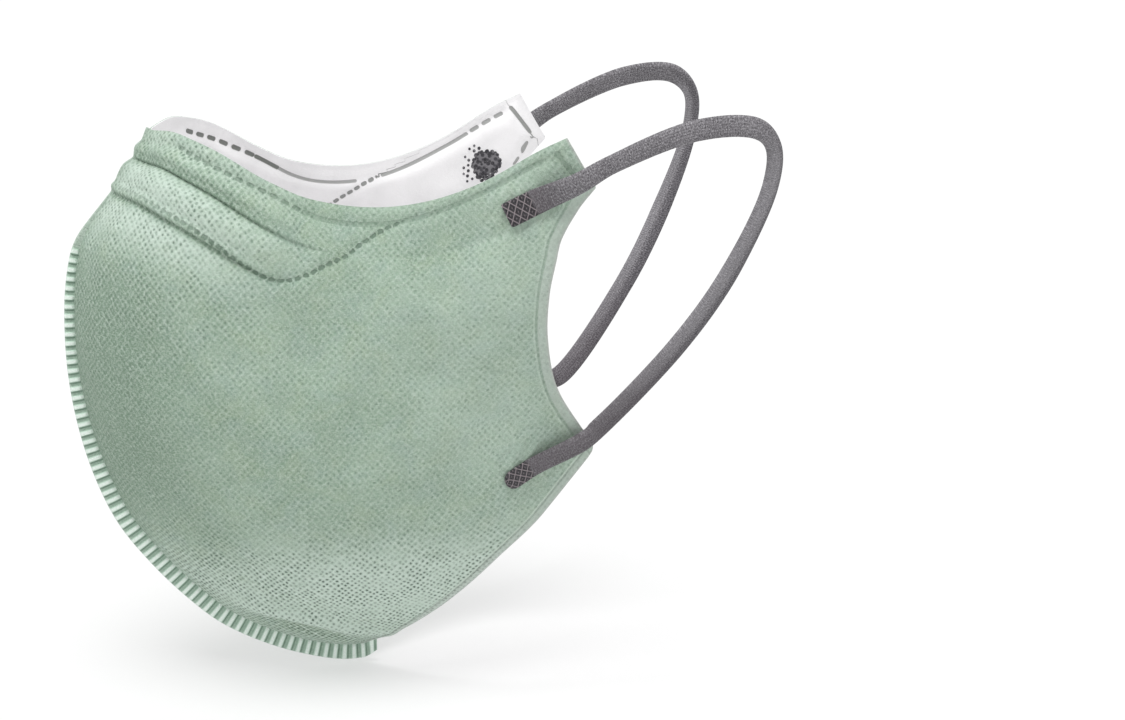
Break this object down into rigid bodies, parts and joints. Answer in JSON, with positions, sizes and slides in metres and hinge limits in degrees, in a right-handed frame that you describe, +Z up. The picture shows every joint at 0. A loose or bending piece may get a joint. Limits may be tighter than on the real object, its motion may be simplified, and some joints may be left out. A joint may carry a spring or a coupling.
{
  "type": "surgical face mask",
  "caption": "Half-open shaped face mask with tucks at the nose, a welded front keel, a separate lining and elastic ear loops.",
  "frame": {"origin": "the top of the keel, where the mask sits on the bridge of the nose", "axes": "+Z up, +Y back towards the wearer's face, +X towards the wearer's left; the mask is symmetric across x = 0"},
  "size_m": [0.0942, 0.1685, 0.1462],
  "materials": {
    "cover_cloth": "embossed nonwoven",
    "lining_cloth": "smooth nonwoven",
    "keel_weld": "welded nonwoven",
    "elastic": "fine knit",
    "weld_mark": "pressed and fused"
  },
  "bodies": {
    "root": {"cover_left": "cover_cloth", "cover_right": "cover_cloth", "lining_left": "lining_cloth", "lining_right": "lining_cloth", "keel_fin": "keel_weld", "ear_loop_left": "elastic", "ear_loop_right": "elastic", "upper_weld_mark_left": "weld_mark", "upper_weld_mark_right": "weld_mark", "lower_weld_mark_left": "weld_mark", "lower_weld_mark_right": "weld_mark"}
  },
  "joints": []
}
